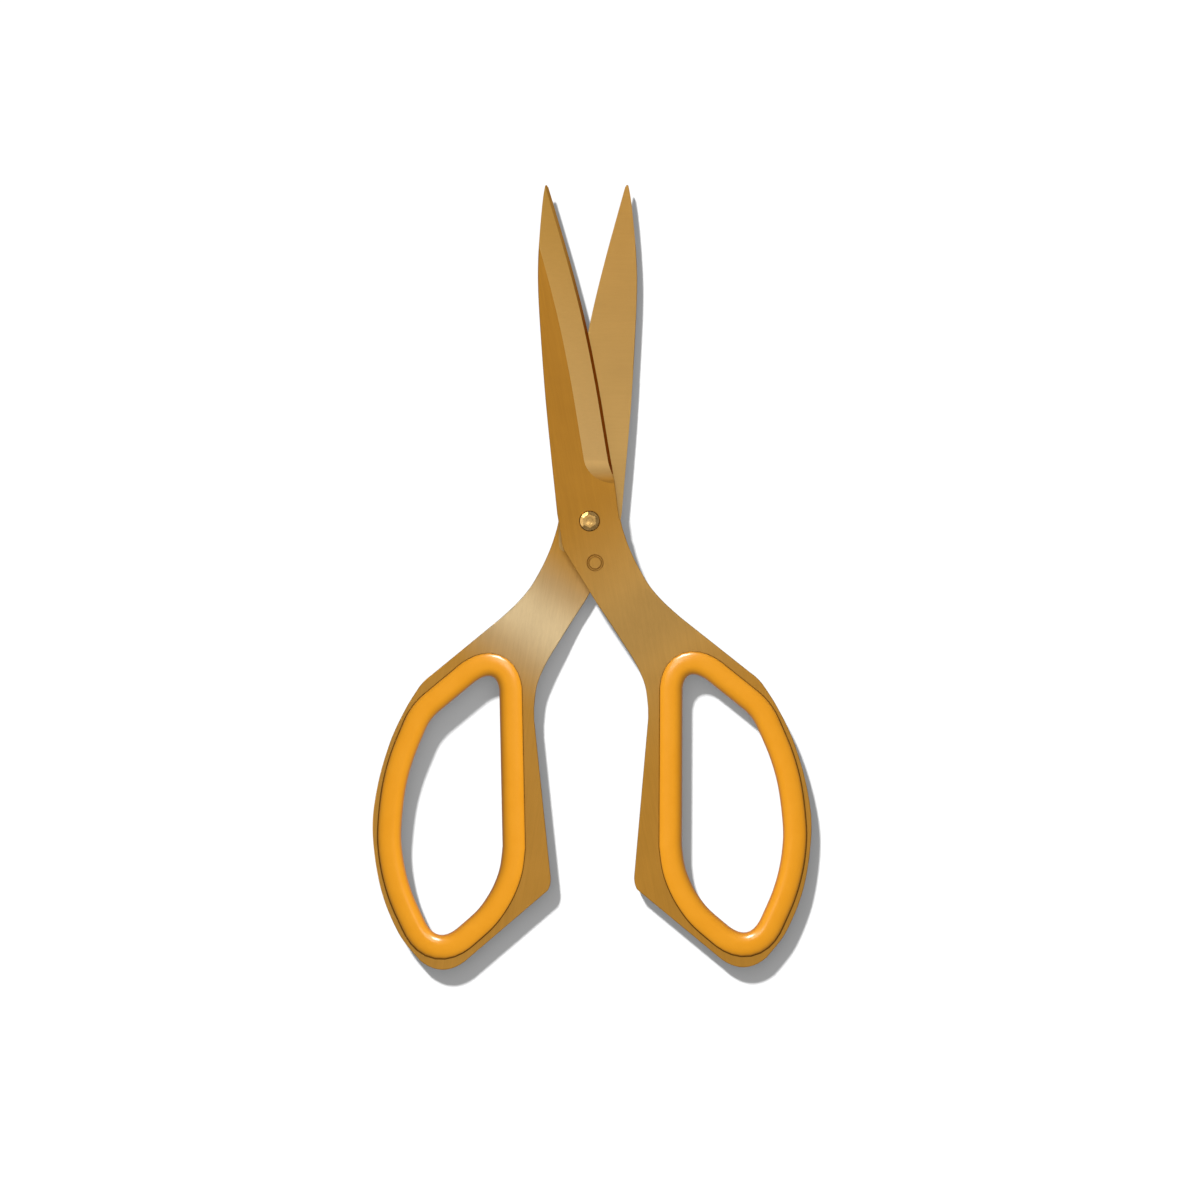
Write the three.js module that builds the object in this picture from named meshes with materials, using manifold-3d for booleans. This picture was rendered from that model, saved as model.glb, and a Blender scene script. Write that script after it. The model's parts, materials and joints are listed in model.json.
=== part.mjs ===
// Office scissors with steel finger loops: two identical stamped halves on a post-and-screw pivot,
// and a silicone grip pressed into each loop.
//
// Frame: millimetres, +Z up, +Y towards the tips. The origin is on the pivot axis, at the level of the
// table that the scissors lie on. Each half turns over about the Y axis to give the other one.

import * as THREE from "three";
import { mergeVertices } from "three/addons/utils/BufferGeometryUtils.js";
import Module from "manifold-3d";

const wasm = await Module();
wasm.setup();

// ---------------------------------------------------------------- driving dimensions (mm)

const tipReach = 90.2; // pivot axis to the tips
const buttReach = 120; // pivot axis to the far end of the loops
const bladeSpread = 13.25; // centre plane to the back of a blade, where it is widest
const handleSpread = 58.8; // centre plane to the outer side of a loop

const plate = 2.5; // stock thickness of a half
const padRise = 0.3; // ride pad above the inner face, around the pivot
const rideGap = 0.1; // between the two ride pads
const gripHeight = 6.8; // grip, face to face
const gripWidth = 6.1; // grip, opening to outer lip
const grooveDepth = 2.9; // outer lip of the grip over the steel
const seatGap = 0.1; // grip groove to steel

const bevelWidth = 7.2; // primary grind, across the blade
const bevelSlope = 0.3; // fall of the primary grind for each mm across
const honedWidth = 0.8; // steep honed strip along the cutting edge
const honedSlope = 0.95;
const hollowWidth = 7; // inner face that falls to the cutting edge
const bevelStart = 10; // heel end of the grind, ahead of the pivot
const bevelRunOut = 6.5; // length over which the grind reaches its full width

const joggleLength = 21; // S-bend that brings each shank to the middle level
const joggleBearing = THREE.MathUtils.degToRad(35); // of the shank, from the centre plane
const joggleToGrip = 2; // flat steel between the S-bend and the grip

const postDiameter = 3.8;
const boreClearance = 0.1; // radial, where a half turns on the post
const threadDiameter = 2.4;
const headLedge = 0.6; // corners of a six-sided head beyond the post
const headChamfer = 0.75; // across, round the flat top
const headChamferFall = 0.6; // and down
const recessDepth = 1.1; // seat of the head in the outer face
const recessClearance = 0.3; // radial, around the head
const stackGap = 0.05; // between pieces of the pivot that touch
const washerWidth = 1.6; // friction washer beyond the post
const washerThickness = 0.5;
const springThickness = 0.3;

// ---------------------------------------------------------------- levels

const middle = gripHeight / 2; // the plane between the halves, and the middle of both loops
const ride = middle + rideGap / 2; // face of the front half's ride pad
const inner = ride + padRise; // inner face of the front half
const outer = inner + plate; // outer face of the front half
const loopDrop = (inner + outer) / 2 - middle; // from the front blade to the loop

const headDiameter = postDiameter + 2 * headLedge;
const washerDiameter = postDiameter + 2 * washerWidth;

// ---------------------------------------------------------------- small tools

function toSolid(geometry) {
  geometry.deleteAttribute("normal");
  geometry.deleteAttribute("uv");
  const merged = mergeVertices(geometry, 1e-4);
  const vertProperties = merged.attributes.position.array;
  const triVerts = new Uint32Array(merged.index.array);
  return new wasm.Manifold(new wasm.Mesh({ numProp: 3, vertProperties, triVerts }));
}

function toGeometry(solid) {
  const { vertProperties, triVerts } = solid.getMesh();
  const geometry = new THREE.BufferGeometry();
  geometry.setAttribute("position", new THREE.BufferAttribute(vertProperties, 3));
  geometry.setIndex(new THREE.BufferAttribute(triVerts, 1));
  geometry.computeVertexNormals();
  return geometry;
}

// A flat outline raised from one level to another.
function prism(points, low, high) {
  const shape = new THREE.Shape(points);
  const geometry = new THREE.ExtrudeGeometry(shape, { depth: high - low, bevelEnabled: false });
  return toSolid(geometry.translate(0, 0, low));
}

// A round solid about the pivot axis. Each profile point is [radius, level], from the bottom up.
function turned(profile, sides = 40) {
  const points = profile.map(([radius, level]) => new THREE.Vector2(radius, level));
  return toSolid(new THREE.LatheGeometry(points, sides).rotateX(Math.PI / 2));
}

function cylinder(radius, low, high) {
  return turned([[0, low], [radius, low], [radius, high], [0, high]]);
}

// A skin over a row of rings with equal point counts. Seen along an open row, each ring runs
// clockwise, and a fan from its first point caps each end.
function skin(rings, closed) {
  const size = rings[0].length;
  const faces = [];
  const last = closed ? rings.length : rings.length - 1;
  for (let i = 0; i < last; i++) {
    const here = i * size;
    const next = ((i + 1) % rings.length) * size;
    for (let j = 0; j < size; j++) {
      const k = (j + 1) % size;
      faces.push(here + j, here + k, next + k, here + j, next + k, next + j);
    }
  }
  const end = last * size;
  for (let j = 1; j < size - 1 && !closed; j++) {
    faces.push(0, j + 1, j, end, end + j, end + j + 1);
  }
  const geometry = new THREE.BufferGeometry().setFromPoints(rings.flat());
  return toSolid(geometry.setIndex(faces));
}

// A closed run of points moved outwards by a distance, with its corners kept sharp.
function offset(points, distance) {
  return points.map((point, i) => {
    const before = points[(i + points.length - 1) % points.length];
    const after = points[(i + 1) % points.length];
    const into = point.clone().sub(before).normalize();
    const away = after.clone().sub(point).normalize();
    const normal = new THREE.Vector2(into.y + away.y, -into.x - away.x).normalize();
    const share = normal.dot(new THREE.Vector2(away.y, -away.x));
    return point.clone().addScaledVector(normal, distance / share);
  });
}

function mesh(name, solid, color, roughness, metalness) {
  const material = new THREE.MeshStandardMaterial({ color, roughness, metalness });
  const made = new THREE.Mesh(toGeometry(solid), material);
  made.name = name;
  return made;
}

// ---------------------------------------------------------------- outlines of the front half
// Its blade is on the -X side and its loop on the +X side. Points are shares of the driving reaches.

const bladePoint = (across, along) => [across * bladeSpread, along * tipReach];
const handlePoint = (across, along) => [across * handleSpread, -along * buttReach];
const through = (pairs, place) => pairs.map((pair) => new THREE.Vector2(...place(...pair)));

// The finger opening, anticlockwise from the top of its straight inner side.
function openingOutline() {
  const path = new THREE.Path();
  path.moveTo(...handlePoint(0.418, 0.375));
  path.lineTo(...handlePoint(0.409, 0.725));
  path.splineThru(through(
    [[0.42, 0.767], [0.441, 0.8], [0.475, 0.833], [0.526, 0.867], [0.601, 0.9]], handlePoint));
  path.quadraticCurveTo(...handlePoint(0.714, 0.951), ...handlePoint(0.772, 0.885));
  path.splineThru(through(
    [[0.819, 0.833], [0.85, 0.783], [0.867, 0.733], [0.87, 0.683], [0.851, 0.6], [0.815, 0.533],
      [0.76, 0.467]], handlePoint));
  path.quadraticCurveTo(...handlePoint(0.736, 0.438), ...handlePoint(0.685, 0.419));
  path.lineTo(...handlePoint(0.527, 0.356));
  path.quadraticCurveTo(...handlePoint(0.432, 0.325), ...handlePoint(0.418, 0.375));
  const points = path.getPoints(5);
  points.pop();
  return points;
}

// The whole half, anticlockwise from the tip: back of the blade, inner side of the shank and loop,
// outer side of the loop and shank, heel, cutting edge.
function halfOutline() {
  const path = new THREE.Path();
  path.moveTo(...bladePoint(-0.815, 1));
  path.quadraticCurveTo(...bladePoint(-0.842, 1), ...bladePoint(-0.849, 0.994));
  path.splineThru(through(
    [[-0.894, 0.953], [-0.953, 0.865], [-0.995, 0.776], [-1, 0.687], [-0.957, 0.554],
      [-0.853, 0.333], [-0.652, 0.022]], bladePoint));
  path.quadraticCurveTo(...bladePoint(-0.62, -0.008), ...bladePoint(-0.6, -0.022));
  path.lineTo(...bladePoint(-0.566, -0.061));
  path.quadraticCurveTo(...bladePoint(-0.557, -0.075), ...bladePoint(-0.513, -0.088));
  path.lineTo(...handlePoint(0.029, 0.183));
  path.splineThru(through(
    [[0.075, 0.217], [0.14, 0.267], [0.203, 0.317], [0.246, 0.367], [0.26, 0.417]], handlePoint));
  path.lineTo(...handlePoint(0.26, 0.442));
  path.lineTo(...handlePoint(0.191, 0.792));
  path.quadraticCurveTo(...handlePoint(0.187, 0.811), ...handlePoint(0.204, 0.824));
  path.lineTo(...handlePoint(0.585, 0.981));
  path.quadraticCurveTo(...handlePoint(0.69, 1.019), ...handlePoint(0.79, 0.978));
  path.splineThru(through(
    [[0.885, 0.917], [0.965, 0.817], [1, 0.692], [0.978, 0.592], [0.919, 0.492],
      [0.847, 0.417], [0.783, 0.367]], handlePoint));
  path.quadraticCurveTo(...handlePoint(0.757, 0.351), ...handlePoint(0.73, 0.342));
  path.lineTo(...handlePoint(0.413, 0.217));
  path.splineThru(through(
    [[0.337, 0.183], [0.278, 0.15], [0.236, 0.117], [0.2, 0.083], [0.172, 0.05], [0.15, 0.017]],
    handlePoint));
  path.lineTo(...bladePoint(0.627, 0.003));
  path.lineTo(...bladePoint(0.6, 0.006));
  path.lineTo(...bladePoint(0.518, 0.11));
  path.splineThru(through(
    [[0.491, 0.133], [0.385, 0.233], [0.181, 0.421], [-0.056, 0.599], [-0.356, 0.776],
      [-0.785, 0.998]], bladePoint));
  path.closePath();
  const points = path.getPoints(6);
  points.pop();
  return points;
}

const opening = openingOutline();
const outline = halfOutline();

// X of the cutting edge at a distance ahead of the pivot.
function edgeAt(along) {
  let edge = -bladeSpread;
  outline.forEach((a, i) => {
    const b = outline[(i + 1) % outline.length];
    if ((a.y - along) * (b.y - along) < 0) {
      edge = Math.max(edge, a.x + ((b.x - a.x) * (along - a.y)) / (b.y - a.y));
    }
  });
  return edge;
}

// ---------------------------------------------------------------- a half

// The level of the blade from the tip to the shank, then the S-bend down to the level of the loop,
// as one slab across the half's own width.
function joggledSlab() {
  const along = new THREE.Vector2(Math.sin(joggleBearing), -Math.cos(joggleBearing));
  const nearest = Math.min(...offset(opening, gripWidth).map((point) => point.dot(along)));
  const bendEnd = nearest - joggleToGrip;
  const bendStart = bendEnd - joggleLength;
  const farAhead = -2 * tipReach;
  const farBehind = 2 * buttReach;
  const steps = 10;
  const centre = [[farAhead, 0]];
  for (let i = 0; i <= steps; i++) {
    const share = i / steps;
    const drop = loopDrop * THREE.MathUtils.smoothstep(share, 0, 1);
    centre.push([bendStart + share * joggleLength, drop]);
  }
  centre.push([farBehind, loopDrop]);
  const across = new THREE.Vector2(-along.y, along.x).multiplyScalar(2 * buttReach);
  const rings = centre.map(([distance, drop]) => {
    const corner = (side, level) => {
      const foot = along.clone().multiplyScalar(distance).addScaledVector(across, side);
      return new THREE.Vector3(foot.x, foot.y, level - drop);
    };
    return [corner(1, inner), corner(1, outer), corner(-1, outer), corner(-1, inner)];
  });
  return skin(rings, false);
}

// Ride pad: the raised face around the pivot, from the heel of the blade to a rounded lower corner.
function ridePad() {
  const side = 8.3;
  const lower = -8.2;
  const corner = 2.4;
  const upper = bevelStart + bevelRunOut;
  const path = new THREE.Path();
  path.moveTo(-bladeSpread, upper);
  path.lineTo(-bladeSpread, lower);
  path.lineTo(side - corner, lower);
  path.quadraticCurveTo(side, lower, side, lower + corner);
  path.lineTo(side, upper);
  return prism(path.getPoints(5), ride, inner + plate / 2);
}

// Stations along the blade: close together where the grind runs out, then even up to the tip.
const lastStation = tipReach - 0.5;

function bladeStations() {
  const fullGrind = bevelStart + bevelRunOut;
  const runOut = [0, 0.12, 0.35, 0.65].map((share) => bevelStart + share * bevelRunOut);
  const count = 12;
  const blade = [];
  for (let i = 0; i <= count; i++) {
    blade.push(fullGrind + (i / count) * (lastStation - fullGrind));
  }
  return [...runOut, ...blade];
}

// The part of the inner face that falls from the hollow of the blade to the cutting edge.
function innerLand() {
  const beyond = 1;
  const top = inner + plate / 4;
  const section = [
    [beyond, ride], [0, ride], [-hollowWidth, inner + seatGap / 10], [-hollowWidth, top], [beyond, top],
  ];
  const rings = bladeStations().map((along) =>
    section.map(([x, z]) => new THREE.Vector3(edgeAt(along) + x, along, z)));
  return skin(rings, false);
}

// What the grinding wheel takes off: the wide primary bevel and the narrow honed strip.
function grind() {
  const beyond = 2;
  const stations = bladeStations();
  stations.push(tipReach + beyond);
  const rings = stations.map((along) => {
    const share = Math.min(1, (along - bevelStart) / bevelRunOut);
    const width = Math.max(0.05, bevelWidth * Math.sqrt(share * (2 - share)));
    const honed = Math.min(honedWidth, width / 2);
    const edge = edgeAt(Math.min(along, lastStation));
    const shoulder = outer - bevelSlope * (width - honed);
    const section = [
      [beyond, outer + beyond],
      [beyond, shoulder - honedSlope * (honed + beyond)],
      [-honed, shoulder],
      [-width, outer],
      [-width, outer + beyond],
    ];
    return section.map(([x, z]) => new THREE.Vector3(edge + x, along, z));
  });
  return skin(rings, false);
}

function half() {
  const thick = outer + 1;
  const stock = joggledSlab().add(ridePad()).add(innerLand());
  const loopHole = offset(opening, gripWidth - grooveDepth + seatGap);
  const bore = cylinder(postDiameter / 2 + boreClearance, 0, thick);
  const recess = cylinder(headDiameter / 2 + recessClearance, outer - recessDepth, thick);
  const washerSeat = cylinder(washerDiameter / 2 + seatGap, 0, middle + washerThickness / 2 + stackGap);
  return prism(outline, 0, thick)
    .intersect(stock)
    .subtract(grind())
    .subtract(prism(loopHole, 0, thick))
    .subtract(bore)
    .subtract(recess)
    .subtract(washerSeat);
}

// ---------------------------------------------------------------- a grip

// One section, as [distance out from the opening, height above the middle], swept round the opening.
function grip() {
  const h = gripHeight / 2;
  const w = gripWidth;
  const steel = plate / 2 + seatGap;
  const groove = w - grooveDepth;
  const upper = [
    [0, 0.4 * h], [0.05 * w, 0.68 * h], [0.14 * w, 0.88 * h], [0.28 * w, h], [0.6 * w, h],
    [0.82 * w, 0.88 * h], [0.95 * w, 0.68 * h], [w, steel], [groove, steel],
  ];
  const lower = upper.map(([out, up]) => [out, -up]).reverse();
  const rings = [...upper, ...lower].reverse().map(([out, up]) =>
    offset(opening, out).map((point) => new THREE.Vector3(point.x, point.y, middle + up)));
  return skin(rings, true);
}

// ---------------------------------------------------------------- the pivot

const headHeight = gripHeight - (outer - recessDepth) - stackGap;

// Six-sided head from one level up to its flat top, which has a chamfer round it.
function sixSidedHead(low, high) {
  const radius = headDiameter / 2;
  const crown = high - headChamferFall;
  return turned([[0, low], [radius, low], [radius, crown], [radius - headChamfer, high], [0, high]], 6);
}

const postHead = headHeight - springThickness - stackGap; // leaves room for the spring washer
const boreFloor = postHead / 2;

// Six-sided head under the rear half, with a hollow post up through both halves.
function pivotPost() {
  const head = sixSidedHead(-postHead, 0).mirror([0, 0, 1]);
  const post = cylinder(postDiameter / 2, boreFloor, outer - recessDepth - stackGap);
  const bore = cylinder(threadDiameter / 2 + stackGap, boreFloor, outer);
  return head.add(post).subtract(bore);
}

// Visible screw of the front half: its thread runs down the inside of the post.
function pivotScrew() {
  const seat = outer - recessDepth + stackGap;
  const head = sixSidedHead(seat, gripHeight);
  const shank = cylinder(threadDiameter / 2, boreFloor + stackGap, seat + headHeight / 2);
  return head.add(shank);
}

function ring(outerRadius, innerRadius, low, high) {
  return cylinder(outerRadius, low, high).subtract(cylinder(innerRadius, low - 1, high + 1));
}

function frictionWasher() {
  const bore = postDiameter / 2 + boreClearance;
  return ring(washerDiameter / 2, bore, middle - washerThickness / 2, middle + washerThickness / 2);
}

// Between the head of the post and its recess in the rear half.
function springWasher() {
  const low = headHeight - springThickness;
  return ring(headDiameter / 2, postDiameter / 2 + boreClearance, low, low + springThickness);
}

// ---------------------------------------------------------------- the assembly

const steel = [0xab7b30, 0.38, 1];
const polished = [0xc09550, 0.22, 1];
const silicone = [0xf7a92c, 0.55, 0];

const frontHalf = mesh("front_half", half(), ...steel);
const frontGrip = mesh("front_grip", grip(), ...silicone);

const rearSide = new THREE.Group();
rearSide.rotation.y = Math.PI;
rearSide.position.z = 2 * middle;
rearSide.add(mesh("rear_half", half(), ...steel));
rearSide.add(mesh("rear_grip", grip(), ...silicone));

const scissors = new THREE.Group();
scissors.add(frontHalf, frontGrip, rearSide);
scissors.add(mesh("pivot_post", pivotPost(), ...polished));
scissors.add(mesh("pivot_screw", pivotScrew(), ...polished));
scissors.add(mesh("friction_washer", frictionWasher(), 0xb8a070, 0.4, 1));
scissors.add(mesh("spring_washer", springWasher(), 0x9a9a9a, 0.35, 1));

export default scissors;
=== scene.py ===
import json
import math

import bpy
from mathutils import Matrix, Vector

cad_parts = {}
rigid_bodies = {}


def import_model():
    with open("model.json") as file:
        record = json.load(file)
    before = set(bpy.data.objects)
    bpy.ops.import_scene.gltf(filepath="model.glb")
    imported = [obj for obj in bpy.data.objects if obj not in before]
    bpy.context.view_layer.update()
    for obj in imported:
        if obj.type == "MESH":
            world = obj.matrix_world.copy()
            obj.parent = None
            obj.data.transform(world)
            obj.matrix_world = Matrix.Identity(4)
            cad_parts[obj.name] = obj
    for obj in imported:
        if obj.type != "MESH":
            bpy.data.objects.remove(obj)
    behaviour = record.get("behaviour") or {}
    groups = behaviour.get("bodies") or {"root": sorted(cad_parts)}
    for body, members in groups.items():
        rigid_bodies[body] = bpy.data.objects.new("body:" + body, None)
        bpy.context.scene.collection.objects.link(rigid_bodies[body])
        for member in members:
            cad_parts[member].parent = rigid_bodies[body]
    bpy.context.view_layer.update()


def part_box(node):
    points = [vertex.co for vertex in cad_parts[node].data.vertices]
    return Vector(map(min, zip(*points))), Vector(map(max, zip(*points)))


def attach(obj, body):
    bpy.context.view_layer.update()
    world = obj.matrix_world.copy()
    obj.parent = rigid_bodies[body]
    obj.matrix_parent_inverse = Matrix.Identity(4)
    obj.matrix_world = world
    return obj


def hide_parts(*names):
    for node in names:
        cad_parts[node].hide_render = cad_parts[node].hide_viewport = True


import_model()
bpy.ops.object.select_all(action="DESELECT")

# ---------------------------------------------------------------- The steel
# Gold-coloured stainless steel: drawn lines along each half on the rolled faces, fine crossways
# lines where the wheel has been, and a dark honed strip at the edge.

lines = bpy.data.node_groups.new("drawn_lines", "ShaderNodeTree")
face = lines.interface
face.new_socket("Place", in_out="INPUT", socket_type="NodeSocketVector")
face.new_socket("Lines", in_out="INPUT", socket_type="NodeSocketFloat")
face.new_socket("Stretch", in_out="INPUT", socket_type="NodeSocketFloat")
face.new_socket("Fine", in_out="OUTPUT", socket_type="NodeSocketFloat")
face.new_socket("Broad", in_out="OUTPUT", socket_type="NodeSocketFloat")
face.new_socket("Cloud", in_out="OUTPUT", socket_type="NodeSocketFloat")
taken = lines.nodes.new("NodeGroupInput")
given = lines.nodes.new("NodeGroupOutput")
squeeze = lines.nodes.new("ShaderNodeVectorMath")
squeeze.operation = "MULTIPLY"
along = lines.nodes.new("ShaderNodeMath")
along.operation = "DIVIDE"
scale = lines.nodes.new("ShaderNodeCombineXYZ")
lines.links.new(taken.outputs["Lines"], along.inputs[0])
lines.links.new(taken.outputs["Stretch"], along.inputs[1])
lines.links.new(taken.outputs["Lines"], scale.inputs["X"])
lines.links.new(along.outputs[0], scale.inputs["Y"])
lines.links.new(taken.outputs["Lines"], scale.inputs["Z"])
lines.links.new(taken.outputs["Place"], squeeze.inputs[0])
lines.links.new(scale.outputs["Vector"], squeeze.inputs[1])
for name, vector, size, detail in (("Fine", squeeze.outputs["Vector"], 1, 3),
                                   ("Broad", squeeze.outputs["Vector"], 0.22, 2),
                                   ("Cloud", taken.outputs["Place"], 70, 2)):
    noise = lines.nodes.new("ShaderNodeTexNoise")
    noise.inputs["Scale"].default_value = size
    noise.inputs["Detail"].default_value = detail
    noise.inputs["Roughness"].default_value = 0.6
    spread = lines.nodes.new("ShaderNodeMapRange")
    spread.inputs["From Min"].default_value = 0.3
    spread.inputs["From Max"].default_value = 0.7
    lines.links.new(vector, noise.inputs["Vector"])
    lines.links.new(noise.outputs["Fac"], spread.inputs["Value"])
    lines.links.new(spread.outputs["Result"], given.inputs[name])


def finish(name, lean, near, far, span, rough, count, stretch, depth, contrast=0.1):
    """Steel with lines that lean from the lengthways axis by an angle. Its colour goes from near to
    far over a stretch of the lengthways axis."""
    made = bpy.data.materials.new(name)
    made.use_nodes = True
    tree = made.node_tree
    shader = tree.nodes["Principled BSDF"]
    place = tree.nodes.new("ShaderNodeTexCoord")
    turn = tree.nodes.new("ShaderNodeMapping")
    turn.inputs["Rotation"].default_value = (0, 0, math.radians(lean))
    grain = tree.nodes.new("ShaderNodeGroup")
    grain.node_tree = lines
    grain.inputs["Lines"].default_value = count
    grain.inputs["Stretch"].default_value = stretch
    tree.links.new(place.outputs["Object"], turn.inputs["Vector"])
    tree.links.new(turn.outputs["Vector"], grain.inputs["Place"])
    both = tree.nodes.new("ShaderNodeMix")
    both.inputs["Factor"].default_value = 0.45
    tree.links.new(grain.outputs["Fine"], both.inputs["A"])
    tree.links.new(grain.outputs["Broad"], both.inputs["B"])
    cloudy = tree.nodes.new("ShaderNodeMix")
    cloudy.inputs["Factor"].default_value = 0.3
    tree.links.new(both.outputs["Result"], cloudy.inputs["A"])
    tree.links.new(grain.outputs["Cloud"], cloudy.inputs["B"])
    parts = tree.nodes.new("ShaderNodeSeparateXYZ")
    tree.links.new(place.outputs["Object"], parts.inputs["Vector"])
    reach = tree.nodes.new("ShaderNodeMapRange")
    reach.inputs["From Min"].default_value, reach.inputs["From Max"].default_value = span
    tree.links.new(parts.outputs["Y"], reach.inputs["Value"])
    colour = tree.nodes.new("ShaderNodeMix")
    colour.name = "lengthways"
    colour.data_type = "RGBA"
    colour.inputs["A"].default_value = (*near, 1)
    colour.inputs["B"].default_value = (*far, 1)
    tree.links.new(reach.outputs["Result"], colour.inputs["Factor"])
    shade = tree.nodes.new("ShaderNodeMapRange")
    shade.inputs["To Min"].default_value = 1 - contrast
    shade.inputs["To Max"].default_value = 1 + contrast
    tree.links.new(cloudy.outputs["Result"], shade.inputs["Value"])
    lined = tree.nodes.new("ShaderNodeMix")
    lined.name = "lined"
    lined.data_type = "RGBA"
    lined.blend_type = "MULTIPLY"
    lined.inputs["Factor"].default_value = 1
    tree.links.new(colour.outputs["Result"], lined.inputs["A"])
    tree.links.new(shade.outputs["Result"], lined.inputs["B"])
    tree.links.new(lined.outputs["Result"], shader.inputs["Base Color"])
    gloss = tree.nodes.new("ShaderNodeMapRange")
    gloss.inputs["To Min"].default_value = rough + 0.05
    gloss.inputs["To Max"].default_value = rough - 0.05
    tree.links.new(cloudy.outputs["Result"], gloss.inputs["Value"])
    tree.links.new(gloss.outputs["Result"], shader.inputs["Roughness"])
    bump = tree.nodes.new("ShaderNodeBump")
    bump.inputs["Strength"].default_value = 0.5
    bump.inputs["Distance"].default_value = depth
    tree.links.new(both.outputs["Result"], bump.inputs["Height"])
    tree.links.new(bump.outputs["Normal"], shader.inputs["Normal"])
    shader.inputs["Metallic"].default_value = 1
    return made


# The stretches over which a colour changes, then the steels that are one colour all over.
SHANK_TO_BLADE, BEVEL_TO_TIP, HONED_SHADE_TO_TIP = (-0.06, 0.03), (0.02, 0.085), (0.050, 0.074)
SEAT_SHADE_COLOUR, RIM_HIGHLIGHT_COLOUR, EVEN = (0.17, 0.075, 0.010), (0.86, 0.70, 0.44), (0, 1)
brushed_front = finish("brushed_steel_front", -10, (0.42, 0.20, 0.030), (0.345, 0.155, 0.020),
                       SHANK_TO_BLADE, rough=0.36, count=7000, stretch=40, depth=0.00001)
brushed_rear = finish("brushed_steel_rear", 10, (0.43, 0.21, 0.036), (0.40, 0.19, 0.028),
                      SHANK_TO_BLADE, rough=0.36, count=7000, stretch=40, depth=0.00001)
# The crossways grain of the bevel and the inner ground faces is real; their paler colour is partly
# painted reflection of the overhead light.
bevel_steel = finish("bevel_steel", 90, (0.65, 0.395, 0.138), (0.50, 0.265, 0.055), BEVEL_TO_TIP,
                     rough=0.36, count=9000, stretch=30, depth=0.000008, contrast=0.05)
inner_steel = finish("inner_steel", 90, (0.41, 0.245, 0.078), (0.32, 0.172, 0.042), BEVEL_TO_TIP,
                     rough=0.36, count=9000, stretch=30, depth=0.000008, contrast=0.05)
# The honed strip is a dark finish, and its darkening from the tip down to where the blades cross is
# painted shade.
honed_steel = finish("honed_steel", 90, (0.16, 0.034, 0.0004), (0.42, 0.20, 0.035), HONED_SHADE_TO_TIP,
                     rough=0.35, count=9000, stretch=30, depth=0.000005, contrast=0.15)
# Seat steel is painted shade: a near-black coat for the walls of recesses, bores and grooves.
seat_shade_steel = finish("seat_shade_steel", 0, SEAT_SHADE_COLOUR, SEAT_SHADE_COLOUR, EVEN,
                    rough=0.5, count=9000, stretch=3, depth=0.000005, contrast=0.3)
# The pale rim steel is a painted highlight, the light caught by the sloped rim of the ride pad.
rim_highlight_steel = finish("rim_highlight_steel", 45, RIM_HIGHLIGHT_COLOUR, RIM_HIGHLIGHT_COLOUR, EVEN,
                    rough=0.3, count=9000, stretch=6, depth=0.000005, contrast=0.08)
STEELS = [brushed_front, bevel_steel, honed_steel, inner_steel, seat_shade_steel, rim_highlight_steel]
BRUSHED, BEVEL, HONED, GROUND, SEAT, RIM_HIGHLIGHT = range(6)

# The wheel only just touches the heel of the bevel. There the colour is darkened to that of the
# rolled face: painted shade that hides the bright reflection on the run-out.
tree = bevel_steel.node_tree
fade = tree.nodes.new("ShaderNodeMapRange")
fade.interpolation_type = "SMOOTHSTEP"
fade.inputs["From Min"].default_value = 0.0108
fade.inputs["From Max"].default_value = 0.0150
painted_heel_shade = tree.nodes.new("ShaderNodeMix")
painted_heel_shade.data_type = "RGBA"
painted_heel_shade.inputs["A"].default_value = (0.25, 0.115, 0.018, 1)
tree.links.new(tree.nodes["Separate XYZ"].outputs["Y"], fade.inputs["Value"])
tree.links.new(fade.outputs["Result"], painted_heel_shade.inputs["Factor"])
tree.links.new(tree.nodes["lengthways"].outputs["Result"], painted_heel_shade.inputs["B"])
tree.links.new(painted_heel_shade.outputs["Result"], tree.nodes["lined"].inputs["A"])

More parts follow.
